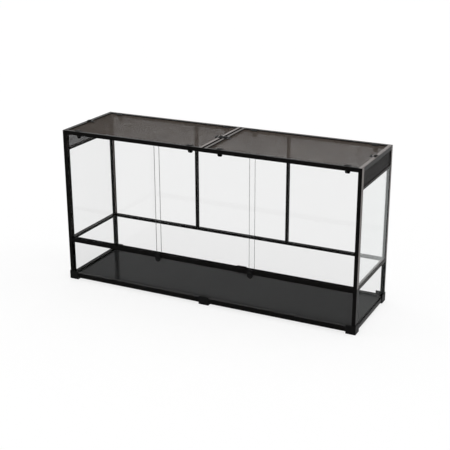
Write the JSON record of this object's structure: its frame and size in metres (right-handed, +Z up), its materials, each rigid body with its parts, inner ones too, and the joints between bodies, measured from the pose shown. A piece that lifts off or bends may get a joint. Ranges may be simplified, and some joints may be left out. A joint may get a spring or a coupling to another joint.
{
  "type": "reptile terrarium",
  "caption": "Long glass reptile terrarium in a slim black profile frame, with sliding front doors, mesh end vents and lift-off mesh lids on plastic corner feet.",
  "frame": {"origin": "centre of the underside of the feet", "axes": "+X to the right when facing the doors, the front faces -Y, +Z up"},
  "size_m": [1.2, 0.346, 0.612],
  "materials": {
    "frame": "satin black powder coat on extruded profile",
    "plastic": "moulded black plastic",
    "glass": "clear flat glass with polished edges",
    "floor": "dark grey gloss floor pane",
    "mesh": "black coated steel wire mesh",
    "steel": "plain pivot pin"
  },
  "bodies": {
    "enclosure": {"foot_front_left": "plastic", "foot_front_right": "plastic", "foot_back_left": "plastic", "foot_back_right": "plastic", "foot_front_center": "plastic", "foot_back_center": "plastic", "bottom_rail_front": "frame", "bottom_rail_back": "frame", "bottom_rail_left": "frame", "bottom_rail_right": "frame", "floor_brace": "frame", "floor_panel": "floor", "post_front_left": "frame", "post_front_right": "frame", "post_back_left": "frame", "post_back_right": "frame", "door_track": "frame", "mid_rail_back": "frame", "mid_rail_left": "frame", "mid_rail_right": "frame", "top_rail_front": "frame", "top_rail_back": "frame", "top_rail_left": "frame", "top_rail_right": "frame", "top_crossbar": "frame", "bolt_keeper": "plastic", "lower_glass_front": "glass", "lower_glass_back": "glass", "lower_glass_left": "glass", "lower_glass_right": "glass", "side_glass_left": "glass", "side_glass_right": "glass", "vent_sill_left": "frame", "vent_sill_right": "frame", "vent_mesh_left": "mesh", "vent_mesh_right": "mesh", "back_glass_left": "glass", "back_glass_center": "glass", "back_glass_right": "glass", "mullion_left": "frame", "mullion_right": "frame", "latch_pin_left": "steel", "latch_pin_right": "steel"},
    "door_left": {"door_left": "glass"},
    "door_center": {"door_center": "glass"},
    "door_right": {"door_right": "glass"},
    "latch_lever_left": {"latch_lever_left": "plastic"},
    "latch_lever_right": {"latch_lever_right": "plastic"},
    "lid_left": {"lid_frame_left": "frame", "lid_mesh_left": "mesh", "lid_clips_left": "plastic"},
    "lid_right": {"lid_frame_right": "frame", "lid_mesh_right": "mesh", "lid_clips_right": "plastic"},
    "bolt_left_outer": {"bolt_left_outer": "plastic"},
    "bolt_left_inner": {"bolt_left_inner": "plastic"},
    "bolt_right_inner": {"bolt_right_inner": "plastic"},
    "bolt_right_outer": {"bolt_right_outer": "plastic"}
  },
  "joints": [
    {"name": "door_left_slide", "type": "slide", "parent": "enclosure", "child": "door_left", "axis": [1, 0, 0], "range_m": [0, 0.76]},
    {"name": "door_center_slide", "type": "slide", "parent": "enclosure", "child": "door_center", "axis": [1, 0, 0], "range_m": [-0.3825, 0.3825]},
    {"name": "door_right_slide", "type": "slide", "parent": "enclosure", "child": "door_right", "axis": [1, 0, 0], "range_m": [-0.76, 0]},
    {"name": "lid_left_lift", "type": "slide", "parent": "enclosure", "child": "lid_left", "axis": [0, 0, 1], "range_m": [0, 0.3]},
    {"name": "lid_right_lift", "type": "slide", "parent": "enclosure", "child": "lid_right", "axis": [0, 0, 1], "range_m": [0, 0.3]},
    {"name": "bolt_left_outer_slide", "type": "slide", "parent": "lid_left", "child": "bolt_left_outer", "axis": [-1, 0, 0], "range_m": [0, 0.004]},
    {"name": "bolt_left_inner_slide", "type": "slide", "parent": "lid_left", "child": "bolt_left_inner", "axis": [1, 0, 0], "range_m": [0, 0.004]},
    {"name": "bolt_right_inner_slide", "type": "slide", "parent": "lid_right", "child": "bolt_right_inner", "axis": [-1, 0, 0], "range_m": [0, 0.004]},
    {"name": "bolt_right_outer_slide", "type": "slide", "parent": "lid_right", "child": "bolt_right_outer", "axis": [1, 0, 0], "range_m": [0, 0.004]},
    {"name": "latch_left_turn", "type": "hinge", "parent": "enclosure", "child": "latch_lever_left", "pos_m": [-0.1915, -0.1679, 0.165], "axis": [0, 1, 0], "range_deg": [0, 90]},
    {"name": "latch_right_turn", "type": "hinge", "parent": "enclosure", "child": "latch_lever_right", "pos_m": [0.1915, -0.1679, 0.165], "axis": [0, 1, 0], "range_deg": [0, 90]}
  ]
}
